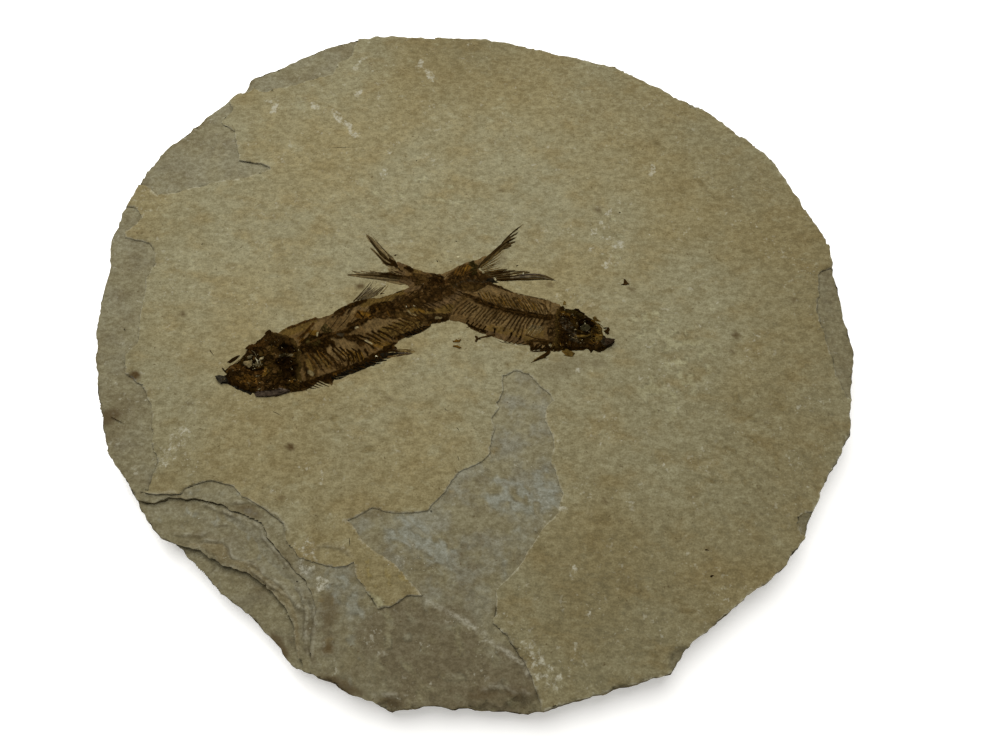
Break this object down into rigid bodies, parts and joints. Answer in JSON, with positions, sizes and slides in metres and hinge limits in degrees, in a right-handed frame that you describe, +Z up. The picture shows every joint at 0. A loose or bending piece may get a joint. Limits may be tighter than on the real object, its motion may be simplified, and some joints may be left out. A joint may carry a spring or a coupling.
{
  "type": "fossil fish plate",
  "caption": "Crossed fossil herrings in dark low relief on a round, hand-broken plate of split limestone that lies flat.",
  "frame": {"origin": "middle of the plate's outline, on its flat underside", "axes": "+Z up out of the face with the fish, +Y towards the rim behind the forked tails, +X towards the small fish's head"},
  "size_m": [0.1804, 0.1798, 0.0096],
  "materials": {
    "split_limestone": "matt split face with flaked ledges",
    "dark_fossil_bone": "mineralised bone, crumbly with a waxy gleam",
    "brown_fossil_bone": "mineralised bone, crumbly with a waxy gleam"
  },
  "bodies": {
    "root": {"limestone_slab": "split_limestone", "large_fish": "dark_fossil_bone", "small_fish": "brown_fossil_bone"}
  },
  "joints": []
}
